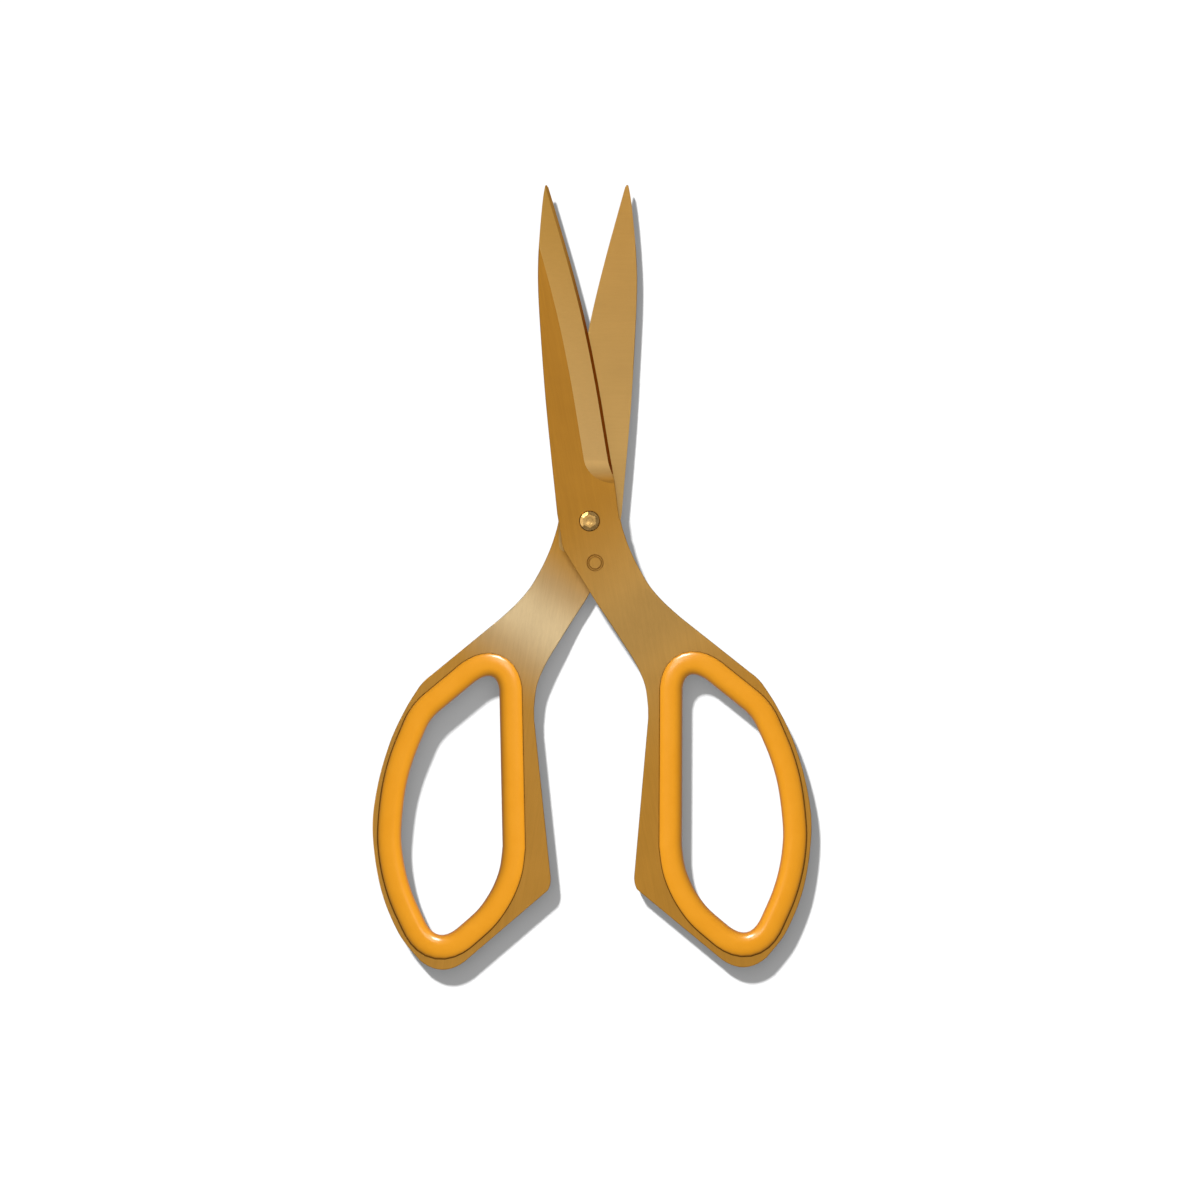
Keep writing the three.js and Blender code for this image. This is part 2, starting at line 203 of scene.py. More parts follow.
# Painted sheen: a pale band is painted across each shank where it bends, where the bend would catch
# the light. It is palest on the rear half.
SHEEN_FROM_PIVOT, SHEEN_CORE = 0.0300, 0.001
for steel, lean, sheen_colour, half_width in ((brushed_rear, -35, (0.485, 0.36, 0.195), 0.022),
                                            (brushed_front, 35, (0.425, 0.24, 0.066), 0.036)):
    tree = steel.node_tree
    place = tree.nodes.new("ShaderNodeTexCoord")
    down = tree.nodes.new("ShaderNodeVectorMath")
    down.operation = "DOT_PRODUCT"
    lean = math.radians(lean)
    down.inputs[1].default_value = (math.sin(lean), -math.cos(lean), 0)
    tree.links.new(place.outputs["Object"], down.inputs[0])
    away = tree.nodes.new("ShaderNodeMath")
    away.operation = "SUBTRACT"
    away.inputs[1].default_value = SHEEN_FROM_PIVOT
    tree.links.new(down.outputs["Value"], away.inputs[0])
    apart = tree.nodes.new("ShaderNodeMath")
    apart.operation = "ABSOLUTE"
    tree.links.new(away.outputs[0], apart.inputs[0])
    # Painted sheen: strongest on the middle of the bend, fading out over half_width.
    painted_sheen = tree.nodes.new("ShaderNodeMapRange")
    painted_sheen.interpolation_type = "SMOOTHSTEP"
    painted_sheen.inputs["From Min"].default_value = SHEEN_CORE
    painted_sheen.inputs["From Max"].default_value = half_width
    painted_sheen.inputs["To Min"].default_value = 1
    painted_sheen.inputs["To Max"].default_value = 0
    tree.links.new(apart.outputs[0], painted_sheen.inputs["Value"])
    pale = tree.nodes.new("ShaderNodeMix")
    pale.data_type = "RGBA"
    pale.inputs["B"].default_value = (*sheen_colour, 1)
    tree.links.new(painted_sheen.outputs["Result"], pale.inputs["Factor"])
    tree.links.new(tree.nodes["lengthways"].outputs["Result"], pale.inputs["A"])
    tree.links.new(pale.outputs["Result"], tree.nodes["lined"].inputs["A"])

# ---------------------------------------------------------------- The stamped half
# One half of the scissors, blade, shank and finger loop in one piece of 2.5 mm stainless steel.
# It is blanked in a press, its edges are tumbled round, and the shank is set in an S-bend so that
# the loop comes to the middle level. The other half is the same stamping turned over.

PLATE = 0.0025
TUMBLED_EDGE = 0.0002
PAD_RISE = 0.0003
BLADE_SPREAD, TIP_REACH = 0.01325, 0.0902
LOOP_SPREAD, BUTT_REACH = 0.0588, 0.12

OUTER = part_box("front_half")[1].z
INNER = OUTER - PLATE
grip_low, grip_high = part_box("front_grip")
MIDDLE = (grip_low.z + grip_high.z) / 2
RIDE = INNER - PAD_RISE


def on_blade(across, along):
    return Vector((across * BLADE_SPREAD, along * TIP_REACH))


def on_loop(across, along):
    return Vector((across * LOOP_SPREAD, -along * BUTT_REACH))


def scribe(start, *moves, steps=10):
    """A closed line from straight stretches, round corners and curves through points."""
    line = [start]
    for kind, *given in moves:
        here = line[-1]
        if kind == "straight":
            line.append(given[0])
        elif kind == "corner":
            control, end = given
            for i in range(1, steps + 1):
                t = i / steps
                line.append((1 - t) ** 2 * here + 2 * t * (1 - t) * control + t * t * end)
        elif kind == "through":
            stops = [here, *given]
            for i in range(len(stops) - 1):
                a, b = stops[i], stops[i + 1]
                leave = (b - stops[max(i - 1, 0)]) / 2
                arrive = (stops[min(i + 2, len(stops) - 1)] - a) / 2
                for k in range(1, steps + 1):
                    t = k / steps
                    line.append((2 * t**3 - 3 * t**2 + 1) * a + (t**3 - 2 * t**2 + t) * leave
                                + (3 * t**2 - 2 * t**3) * b + (t**3 - t**2) * arrive)
    if (line[-1] - line[0]).length < 1e-5:
        line.pop()
    return line


finger_opening = scribe(
    on_loop(0.418, 0.375),
    ("straight", on_loop(0.409, 0.725)),
    ("through", on_loop(0.42, 0.767), on_loop(0.441, 0.8), on_loop(0.475, 0.833),
     on_loop(0.526, 0.867), on_loop(0.601, 0.9)),
    ("corner", on_loop(0.714, 0.951), on_loop(0.772, 0.885)),
    ("through", on_loop(0.819, 0.833), on_loop(0.85, 0.783), on_loop(0.867, 0.733),
     on_loop(0.87, 0.683), on_loop(0.851, 0.6), on_loop(0.815, 0.533), on_loop(0.76, 0.467)),
    ("corner", on_loop(0.736, 0.438), on_loop(0.685, 0.419)),
    ("straight", on_loop(0.527, 0.356)),
    ("corner", on_loop(0.432, 0.325), on_loop(0.418, 0.375)))

half_outline = scribe(
    on_blade(-0.815, 1),
    ("corner", on_blade(-0.842, 1), on_blade(-0.849, 0.994)),
    ("through", on_blade(-0.894, 0.953), on_blade(-0.953, 0.865), on_blade(-0.995, 0.776),
     on_blade(-1, 0.687), on_blade(-0.957, 0.554), on_blade(-0.853, 0.333),
     on_blade(-0.652, 0.022)),
    ("corner", on_blade(-0.62, -0.008), on_blade(-0.6, -0.022)),
    ("straight", on_blade(-0.566, -0.061)),
    ("corner", on_blade(-0.557, -0.075), on_blade(-0.513, -0.088)),
    ("straight", on_loop(0.029, 0.183)),
    ("through", on_loop(0.075, 0.217), on_loop(0.14, 0.267), on_loop(0.203, 0.317),
     on_loop(0.246, 0.367), on_loop(0.26, 0.417)),
    ("straight", on_loop(0.26, 0.442)),
    ("straight", on_loop(0.191, 0.792)),
    ("corner", on_loop(0.187, 0.811), on_loop(0.204, 0.824)),
    ("straight", on_loop(0.585, 0.981)),
    ("corner", on_loop(0.69, 1.019), on_loop(0.79, 0.978)),
    ("through", on_loop(0.885, 0.917), on_loop(0.965, 0.817), on_loop(1, 0.692),
     on_loop(0.978, 0.592), on_loop(0.919, 0.492), on_loop(0.847, 0.417), on_loop(0.783, 0.367)),
    ("corner", on_loop(0.757, 0.351), on_loop(0.73, 0.342)),
    ("straight", on_loop(0.413, 0.217)),
    ("through", on_loop(0.337, 0.183), on_loop(0.278, 0.15), on_loop(0.236, 0.117),
     on_loop(0.2, 0.083), on_loop(0.172, 0.05), on_loop(0.15, 0.017)),
    ("straight", on_blade(0.627, 0.003)),
    ("straight", on_blade(0.6, 0.006)),
    ("straight", on_blade(0.518, 0.11)),
    ("through", on_blade(0.491, 0.133), on_blade(0.385, 0.233), on_blade(0.181, 0.421),
     on_blade(-0.056, 0.599), on_blade(-0.356, 0.776), on_blade(-0.785, 0.998)),
    ("straight", on_blade(-0.815, 1)))


def moved_out(line, distance):
    """A closed line moved outwards, with its corners kept."""
    moved = []
    for i, point in enumerate(line):
        into = (point - line[i - 1]).normalized()
        away = (line[(i + 1) % len(line)] - point).normalized()
        side = Vector((into.y + away.y, -into.x - away.x)).normalized()
        moved.append(point + side * distance / side.dot(Vector((away.y, -away.x))))
    return moved


def only(piece):
    bpy.ops.object.select_all(action="DESELECT")
    piece.select_set(True)
    bpy.context.view_layer.objects.active = piece


def coat(piece, steel):
    piece.data.materials.clear()
    for each in STEELS:
        piece.data.materials.append(each)
    for flat in piece.data.polygons:
        flat.material_index = steel


def blank(name, outline, holes, low, high, rounding):
    """Sheet cut to a closed line, with round edges."""
    drawing = bpy.data.curves.new(name, "CURVE")
    drawing.dimensions = "2D"
    drawing.fill_mode = "BOTH"
    drawing.extrude = (high - low) / 2 - rounding
    drawing.bevel_depth = rounding
    drawing.bevel_resolution = 2
    drawing.offset = -rounding
    for line in [outline, *[hole[::-1] for hole in holes]]:
        spline = drawing.splines.new("POLY")
        spline.points.add(len(line) - 1)
        for point, place in zip(spline.points, line):
            point.co = (place.x, place.y, 0, 1)
        spline.use_cyclic_u = True
    piece = bpy.data.objects.new(name, drawing)
    bpy.context.scene.collection.objects.link(piece)
    piece.location.z = (low + high) / 2
    only(piece)
    bpy.ops.object.convert(target="MESH")
    bpy.ops.object.transform_apply(location=True, rotation=True, scale=True)
    bpy.ops.object.mode_set(mode="EDIT")
    bpy.ops.mesh.select_all(action="SELECT")
    bpy.ops.mesh.remove_doubles(threshold=2e-6)
    bpy.ops.mesh.normals_make_consistent(inside=False)
    bpy.ops.object.mode_set(mode="OBJECT")
    coat(piece, BRUSHED)
    return piece


def work(piece, tool, operation):
    """Cuts or adds one solid with another, which is then gone."""
    only(piece)
    step = piece.modifiers.new(operation, "BOOLEAN")
    step.operation = operation
    step.solver = "EXACT"
    step.object = tool
    bpy.ops.object.modifier_apply(modifier=step.name)
    bpy.data.objects.remove(tool)


GRIP_WIDTH, GRIP_HOLD, GRIP_PLAY = 0.0061, 0.0029, 0.0001
loop_hole = moved_out(finger_opening, GRIP_WIDTH - GRIP_HOLD + GRIP_PLAY)
half = blank("front_half_piece", half_outline, [loop_hole], INNER, OUTER, TUMBLED_EDGE)

# The S-bend of the shank: cuts across it, then each row of points pressed down to its level.
BEND_LENGTH, BEND_TO_GRIP, BEND_ROWS = 0.021, 0.002, 30
BEND_LEAN = math.radians(35)
bend_way = Vector((math.sin(BEND_LEAN), -math.cos(BEND_LEAN)))
bend_end = min(p.dot(bend_way) for p in moved_out(finger_opening, GRIP_WIDTH)) - BEND_TO_GRIP
bend_start = bend_end - BEND_LENGTH
BEND_DROP = (INNER + OUTER) / 2 - MIDDLE
only(half)
bpy.ops.object.mode_set(mode="EDIT")
for i in range(BEND_ROWS + 1):
    bpy.ops.mesh.select_all(action="SELECT")
    foot = bend_way * (bend_start + BEND_LENGTH * i / BEND_ROWS)
    bpy.ops.mesh.bisect(plane_co=(foot.x, foot.y, 0), plane_no=(bend_way.x, bend_way.y, 0))
bpy.ops.object.mode_set(mode="OBJECT")
for v in half.data.vertices:
    share = (v.co.xy.dot(bend_way) - bend_start) / BEND_LENGTH
    share = min(max(share, 0), 1)
    v.co.z -= BEND_DROP * share * share * (3 - 2 * share)

# A fine groove is pressed round the opening on both faces, where the lip of the grip ends. It is
# set a little outwards and down, so it shows most below the grip. Its dark coat is painted shade,
# the dark line where the grip meets the steel.
MARGIN_WIDTH, MARGIN_DEPTH, DIE_HEIGHT = 0.00024, 0.00014, 0.001
MARGIN_SHIFT = Vector((0.00010, -0.00016))
margin_line = [p + MARGIN_SHIFT for p in moved_out(finger_opening, GRIP_WIDTH + MARGIN_WIDTH)]
for level, way in ((MIDDLE + PLATE / 2, 1), (MIDDLE - PLATE / 2, -1)):
    die = blank("die", margin_line, [], 0, DIE_HEIGHT, 0)
    for v in die.data.vertices:
        v.co.z = level - way * MARGIN_DEPTH + way * v.co.z
    if way < 0:
        die.data.flip_normals()
    coat(die, SEAT)
    work(half, die, "DIFFERENCE")

# ---------------------------------------------------------------- Ride pad and inner land
# The inner face stands 0.3 mm higher round the pivot, where the two halves ride on each other, and
# rises again to the cutting edge, so that the blades touch only there. Both are ground into the
# stamping, crossways.

PAD_SIDE, PAD_FOOT, PAD_CORNER, PAD_HEAD = 0.0083, -0.0082, 0.0024, 0.0165
PAD_FAR_SIDE = -0.016
PAD_RIM, PAD_RIM_FALL = 0.00045, 0.0002
pad_line = scribe(
    Vector((PAD_FAR_SIDE, PAD_HEAD)),
    ("straight", Vector((PAD_FAR_SIDE, PAD_FOOT))),
    ("straight", Vector((PAD_SIDE - PAD_CORNER, PAD_FOOT))),
    ("corner", Vector((PAD_SIDE, PAD_FOOT)), Vector((PAD_SIDE, PAD_FOOT + PAD_CORNER))),
    ("straight", Vector((PAD_SIDE, PAD_HEAD))))
pad = blank("pad", pad_line, [], RIDE, OUTER - 0.0004, 0)
for flat in pad.data.polygons:
    flat.select = flat.normal.z < -0.9
bpy.ops.object.mode_set(mode="EDIT")
bpy.ops.mesh.select_mode(type="FACE")
bpy.ops.mesh.inset(thickness=PAD_RIM, depth=0)
bpy.ops.object.mode_set(mode="OBJECT")
for v in pad.data.vertices:
    if v.co.z < RIDE + PAD_RIM_FALL / 2 and not v.select:
        v.co.z += PAD_RIM_FALL
# The sloped rim and side of the pad are painted pale: a painted highlight.
for flat in pad.data.polygons:
    flat.material_index = GROUND if abs(flat.normal.z) > 0.98 else RIM_HIGHLIGHT


def edge_at(along):
    """X of the cutting edge."""
    crossing = [-BLADE_SPREAD]
    for a, b in zip(half_outline, half_outline[1:] + half_outline[:1]):
        if (a.y - along) * (b.y - along) < 0:
            crossing.append(a.x + (b.x - a.x) * (along - a.y) / (b.y - a.y))
    return max(crossing)


def strip(name, stations, rows, rise, steel):
    """A solid with one shaped face: each station along the blade has a row of (X, level)."""
    across, along = len(rows[0]) - 1, len(stations) - 1
    bpy.ops.object.select_all(action="DESELECT")
    bpy.ops.mesh.primitive_grid_add(x_subdivisions=across, y_subdivisions=along, size=1)
    piece = bpy.context.active_object
    piece.name = name
    for v in piece.data.vertices:
        i, j = round((v.co.y + 0.5) * along), round((v.co.x + 0.5) * across)
        v.co = (rows[i][j][0], stations[i], rows[i][j][1])
    bpy.ops.object.mode_set(mode="EDIT")
    bpy.ops.mesh.select_all(action="SELECT")
    bpy.ops.mesh.extrude_region_move(TRANSFORM_OT_translate={"value": (0, 0, rise)})
    bpy.ops.mesh.select_all(action="SELECT")
    bpy.ops.mesh.normals_make_consistent(inside=False)
    bpy.ops.object.mode_set(mode="OBJECT")
    coat(piece, steel)
    return piece


GRIND_HEEL, GRIND_RUN_OUT = 0.01, 0.0065
LAST_STATION = TIP_REACH - 0.0005
LAND_WIDTH, LAND_OVERHANG, LAND_BODY = 0.007, 0.001, 0.0008
SINK = 0.00001
grind_full = GRIND_HEEL + GRIND_RUN_OUT
stations = [GRIND_HEEL + GRIND_RUN_OUT * (1 - math.cos(i * math.pi / 24)) for i in range(12)]
stations += [grind_full + (LAST_STATION - grind_full) * i / 40 for i in range(41)]
land = strip(
    "land", stations,
    [[(edge_at(y) - LAND_WIDTH, INNER + SINK), (edge_at(y), RIDE),
      (edge_at(y) + LAND_OVERHANG, RIDE)] for y in stations], LAND_BODY, GROUND)

# The pad runs down to the relieved face towards the tip.
ramp_stations = [PAD_HEAD - 0.001, PAD_HEAD, PAD_HEAD + 0.008, PAD_HEAD + 0.016, PAD_HEAD + 0.024]
ramp_levels = [RIDE, RIDE, RIDE + 0.00008, RIDE + 0.00023, INNER + SINK]
ramp = strip("ramp", ramp_stations,
             [[(PAD_FAR_SIDE, z), (PAD_SIDE, z)] for z in ramp_levels], LAND_BODY, GROUND)
work(land, ramp, "UNION")
work(land, pad, "UNION")
trim = blank("trim", moved_out(half_outline, -SINK), [], 0, 0.01, 0)
work(land, trim, "INTERSECT")
work(half, land, "UNION")

# ---------------------------------------------------------------- The grind
# A wide primary bevel is ground across the outer face and runs out in a round corner ahead of the
# pivot. A narrow, steeper strip is honed along the edge itself.

BEVEL_WIDTH, BEVEL_SLOPE = 0.0072, 0.3
HONED_WIDTH, HONED_SLOPE = 0.0008, 0.95
LEAST_BEVEL, LEAST_SLOPE, LEAST_HONED = 0.00005, 0.04, 0.00002
WHEEL_BACK, WHEEL_PAST, WHEEL_BODY = 0.0005, 0.002, 0.006
rows = []
for y in stations + [TIP_REACH + WHEEL_PAST]:
    share = min(1, (y - GRIND_HEEL) / GRIND_RUN_OUT)
    width = max(LEAST_BEVEL, BEVEL_WIDTH * math.sqrt(share * (2 - share)))
    ease = share * share * (3 - 2 * share)
    slope = BEVEL_SLOPE * max(LEAST_SLOPE, ease)
    honed = min(HONED_WIDTH * ease, width / 2) + LEAST_HONED
    honed_slope = slope + (HONED_SLOPE - slope) * ease
    edge = edge_at(min(y, LAST_STATION))
    shoulder = OUTER - slope * (width - honed)
    rows.append([(edge - width - WHEEL_BACK, OUTER + WHEEL_BACK * slope), (edge - honed, shoulder),
                 (edge + WHEEL_PAST, shoulder - honed_slope * (honed + WHEEL_PAST))])
wheel = strip("wheel", stations + [TIP_REACH + WHEEL_PAST], rows, WHEEL_BODY, BEVEL)
for flat in wheel.data.polygons:
    if flat.normal.z < -0.5 and abs(flat.normal.x / flat.normal.z) > BEVEL_SLOPE + 0.15:
        flat.material_index = HONED
work(half, wheel, "DIFFERENCE")

# ---------------------------------------------------------------- Bore and seats
# The post passes a plain bore. The six-sided head sits in a round recess in the outer face, and the
# friction washer in a shallow seat in the ride pad.

screw_low, screw_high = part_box("pivot_screw")
HEAD_RADIUS = screw_high.y
HEAD_PLAY, HEAD_SEAT = 0.0002, 0.0011
POST_RADIUS, POST_PLAY = 0.0019, 0.0001
MOUTH_PLAY, MOUTH_WIDTH, MOUTH_DEPTH = 0.00018, 0.0004, 0.00012
WASHER_PLAY, WASHER_SINK, DRILL_PAST = 0.0001, 0.00005, 0.001
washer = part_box("friction_washer")[1]
for radius, low, high in ((HEAD_RADIUS + HEAD_PLAY, OUTER - HEAD_SEAT, OUTER + DRILL_PAST),
                          (POST_RADIUS + POST_PLAY, 0, OUTER + DRILL_PAST),
                          (washer.x + WASHER_PLAY, 0, washer.z + WASHER_SINK)):
    bpy.ops.object.select_all(action="DESELECT")
    bpy.ops.mesh.primitive_cylinder_add(vertices=72, radius=radius, depth=high - low,
                                        location=(0, 0, (low + high) / 2))
    drill = bpy.context.active_object
    # The walls of the bore, the head's recess and the washer seat get the dark painted shade.
    coat(drill, SEAT)
    work(half, drill, "DIFFERENCE")

# The mouth of the recess is broken with a countersink.
bpy.ops.object.select_all(action="DESELECT")
bpy.ops.mesh.primitive_cone_add(vertices=72, radius1=HEAD_RADIUS + MOUTH_PLAY, depth=MOUTH_WIDTH,
                                radius2=HEAD_RADIUS + MOUTH_PLAY + MOUTH_WIDTH,
                                location=(0, 0, OUTER + MOUTH_WIDTH / 2 - MOUTH_DEPTH))
coat(bpy.context.active_object, BRUSHED)
work(half, bpy.context.active_object, "DIFFERENCE")

# ---------------------------------------------------------------- The two halves
# The same stamping twice: one as it is, the other turned over about the lengthways axis. Then the
# front one gets its mark, a plain ring struck below the pivot.

bpy.ops.object.select_all(action="DESELECT")
rear = half.copy()
rear.data = half.data.copy()
rear.name = rear.data.name = "rear_half_piece"
bpy.context.scene.collection.objects.link(rear)
rear.data.transform(Matrix.Translation((0, 0, 2 * MIDDLE)) @ Matrix.Rotation(math.pi, 4, "Y"))
MARK_RADIUS, MARK_WIRE, MARK_PLACE = 0.0019, 0.00036, (0.0014, -0.0112, OUTER)
bpy.ops.mesh.primitive_torus_add(major_radius=MARK_RADIUS, minor_radius=MARK_WIRE,
                                 major_segments=64, minor_segments=16, location=MARK_PLACE)
coat(bpy.context.active_object, BRUSHED)
work(half, bpy.context.active_object, "DIFFERENCE")

# Ahead of its pad the relieved inner face is ground too.
for piece, side in ((half, 1), (rear, -1)):
    for flat in piece.data.polygons:
        if flat.normal.z * side < -0.9 and flat.center.y > PAD_HEAD:
            flat.material_index = GROUND
rear.data.materials[BRUSHED] = brushed_rear

# An edge where two finishes meet stays crisp, and the flat faces stay flat beside the round ones.
for piece in (half, rear):
    only(piece)
    bpy.ops.object.shade_smooth_by_angle(angle=math.radians(32))
    finishes = {}
    for flat in piece.data.polygons:
        for edge in flat.edge_keys:
            finishes.setdefault(edge, set()).add(flat.material_index)
    for edge in piece.data.edges:
        if len(finishes[edge.key]) > 1:
            edge.use_edge_sharp = True
    settle = piece.modifiers.new("settle", "WEIGHTED_NORMAL")
    settle.keep_sharp = True
    settle.weight = 100
    bpy.ops.object.modifier_apply(modifier=settle.name)

half.name = "front_half_steel"
rear.name = "rear_half_steel"
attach(half, "front")
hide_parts("front_half")
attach(rear, "rear")
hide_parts("rear_half")

# ---------------------------------------------------------------- The grips
# A ring of orange silicone pressed into each finger loop: a soft round section with a groove round
# the outside that holds the edge of the steel.

GRIP_RISE = MIDDLE - grip_low.z
GROOVE = GRIP_WIDTH - GRIP_HOLD
LIP = PLATE / 2 + GRIP_PLAY
CROWN_OUT, SHOULDER_UP = 0.44, 0.52
ROUNDNESS, SECTION_STEPS = 2 / 2.3, 13


def on_section(out, up):
    return Vector((out * GRIP_WIDTH, up * GRIP_RISE))


# The section goes from the finger side over the crown to the lip outside, then into the groove.
upper = [on_section(0, 0)]
for i in range(1, SECTION_STEPS):
    turn = i / SECTION_STEPS * math.pi / 2
    upper.append(on_section(CROWN_OUT * (1 - math.cos(turn) ** ROUNDNESS),
                            math.sin(turn) ** ROUNDNESS))
for i in range(SECTION_STEPS, -1, -1):
    turn = i / SECTION_STEPS * math.pi / 2
    upper.append(on_section(1 - (1 - CROWN_OUT) * (1 - math.cos(turn) ** ROUNDNESS),
                            SHOULDER_UP + (1 - SHOULDER_UP) * math.sin(turn) ** ROUNDNESS))
upper += [Vector((GRIP_WIDTH, LIP)), Vector((GROOVE, LIP)), Vector((GROOVE, 0))]
section = upper + [Vector((p.x, -p.y)) for p in reversed(upper[1:-1])]
section = [Vector((GRIP_WIDTH / 2 - p.x, p.y)) for p in section]
path = moved_out(finger_opening, GRIP_WIDTH / 2)

outlines = []
for name, points in (("section", section), ("front_grip_silicone", path)):
    drawing = bpy.data.curves.new(name, "CURVE")
    drawing.dimensions = "2D"
    spline = drawing.splines.new("POLY")
    spline.points.add(len(points) - 1)
    for point, at in zip(spline.points, points):
        point.co = (at.x, at.y, 0, 1)
    spline.use_cyclic_u = True
    outlines.append(bpy.data.objects.new(name, drawing))
    bpy.context.scene.collection.objects.link(outlines[-1])
profile, front_grip = outlines
front_grip.data.fill_mode = "NONE"
front_grip.data.bevel_mode = "OBJECT"
front_grip.data.bevel_object = profile
front_grip.location.z = MIDDLE
only(front_grip)
bpy.ops.object.convert(target="MESH")
bpy.ops.object.transform_apply(location=True, rotation=True, scale=True)
bpy.data.objects.remove(profile)
bpy.ops.object.mode_set(mode="EDIT")
bpy.ops.mesh.select_all(action="SELECT")
bpy.ops.mesh.remove_doubles(threshold=2e-6)
bpy.ops.mesh.normals_make_consistent(inside=False)
bpy.ops.object.mode_set(mode="OBJECT")
rear_grip = front_grip.copy()
rear_grip.data = front_grip.data.copy()
rear_grip.name = "rear_grip_silicone"
bpy.context.scene.collection.objects.link(rear_grip)
rear_grip.data.transform(Matrix.Translation((0, 0, 2 * MIDDLE)) @ Matrix.Rotation(math.pi, 4, "Y"))

rubber = bpy.data.materials.new("orange_silicone")
rubber.use_nodes = True
tree = rubber.node_tree
shader = tree.nodes["Principled BSDF"]
place = tree.nodes.new("ShaderNodeTexCoord")
cloud = tree.nodes.new("ShaderNodeTexNoise")
cloud.inputs["Scale"].default_value = 220
cloud.inputs["Detail"].default_value = 3
matt = tree.nodes.new("ShaderNodeTexNoise")
matt.inputs["Scale"].default_value = 3500
matt.inputs["Detail"].default_value = 2
for noise in (cloud, matt):
    tree.links.new(place.outputs["Object"], noise.inputs["Vector"])
colour = tree.nodes.new("ShaderNodeMix")
colour.data_type = "RGBA"
colour.inputs["A"].default_value = (0.90, 0.350, 0.009, 1)
colour.inputs["B"].default_value = (0.95, 0.390, 0.016, 1)
tree.links.new(cloud.outputs["Fac"], colour.inputs["Factor"])

# Painted shade: the colour deepens down the sides of the ring, away from the crown, where the sides
# turn away from the light.
SHADE_UP_TO, UNSHADED_FROM = 0.32, 0.80
parts = tree.nodes.new("ShaderNodeSeparateXYZ")
tree.links.new(place.outputs["Object"], parts.inputs["Vector"])
off_middle = tree.nodes.new("ShaderNodeMath")
off_middle.operation = "SUBTRACT"
off_middle.inputs[1].default_value = MIDDLE
tree.links.new(parts.outputs["Z"], off_middle.inputs[0])
rise = tree.nodes.new("ShaderNodeMath")
rise.operation = "ABSOLUTE"
tree.links.new(off_middle.outputs[0], rise.inputs[0])
crown = tree.nodes.new("ShaderNodeMapRange")
crown.interpolation_type = "SMOOTHSTEP"
crown.inputs["From Min"].default_value = GRIP_RISE * SHADE_UP_TO
crown.inputs["From Max"].default_value = GRIP_RISE * UNSHADED_FROM
tree.links.new(rise.outputs[0], crown.inputs["Value"])
painted_side_shade = tree.nodes.new("ShaderNodeMix")
painted_side_shade.data_type = "RGBA"
painted_side_shade.inputs["A"].default_value = (0.83, 0.265, 0.001, 1)
tree.links.new(crown.outputs["Result"], painted_side_shade.inputs["Factor"])
tree.links.new(colour.outputs["Result"], painted_side_shade.inputs["B"])
tree.links.new(painted_side_shade.outputs["Result"], shader.inputs["Base Color"])
gloss = tree.nodes.new("ShaderNodeMapRange")
gloss.inputs["To Min"].default_value = 0.27
gloss.inputs["To Max"].default_value = 0.35
tree.links.new(cloud.outputs["Fac"], gloss.inputs["Value"])
tree.links.new(gloss.outputs["Result"], shader.inputs["Roughness"])
bump = tree.nodes.new("ShaderNodeBump")
bump.inputs["Strength"].default_value = 0.25
bump.inputs["Distance"].default_value = 0.00002
tree.links.new(matt.outputs["Fac"], bump.inputs["Height"])
tree.links.new(bump.outputs["Normal"], shader.inputs["Normal"])
shader.inputs["Specular IOR Level"].default_value = 0.25

for piece, body, node in ((front_grip, "front", "front_grip"), (rear_grip, "rear", "rear_grip")):
    piece.data.materials.clear()
    piece.data.materials.append(rubber)
    only(piece)
    bpy.ops.object.shade_smooth_by_angle(angle=math.radians(40))
    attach(piece, body)
    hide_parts(node)

# ---------------------------------------------------------------- The pivot
# A hollow post with a six-sided head comes up through both halves, and a screw with the same head
# goes down into it. Both are turned from bright steel, gold like the blades.

bright = bpy.data.materials.new("polished_steel")
bright.use_nodes = True
tree = bright.node_tree
shader = tree.nodes["Principled BSDF"]
place = tree.nodes.new("ShaderNodeTexCoord")
ripple = tree.nodes.new("ShaderNodeTexNoise")
ripple.inputs["Scale"].default_value = 900
ripple.inputs["Detail"].default_value = 3
tree.links.new(place.outputs["Object"], ripple.inputs["Vector"])
colour = tree.nodes.new("ShaderNodeMix")
colour.data_type = "RGBA"
colour.inputs["A"].default_value = (0.38, 0.20, 0.045, 1)
colour.inputs["B"].default_value = (0.60, 0.38, 0.14, 1)
tree.links.new(ripple.outputs["Fac"], colour.inputs["Factor"])
tree.links.new(colour.outputs["Result"], shader.inputs["Base Color"])
gloss = tree.nodes.new("ShaderNodeMapRange")
gloss.inputs["To Min"].default_value = 0.2
gloss.inputs["To Max"].default_value = 0.34
tree.links.new(ripple.outputs["Fac"], gloss.inputs["Value"])
tree.links.new(gloss.outputs["Result"], shader.inputs["Roughness"])
bump = tree.nodes.new("ShaderNodeBump")
bump.inputs["Strength"].default_value = 0.3
bump.inputs["Distance"].default_value = 0.00002
tree.links.new(ripple.outputs["Fac"], bump.inputs["Height"])
tree.links.new(bump.outputs["Normal"], shader.inputs["Normal"])
shader.inputs["Metallic"].default_value = 1

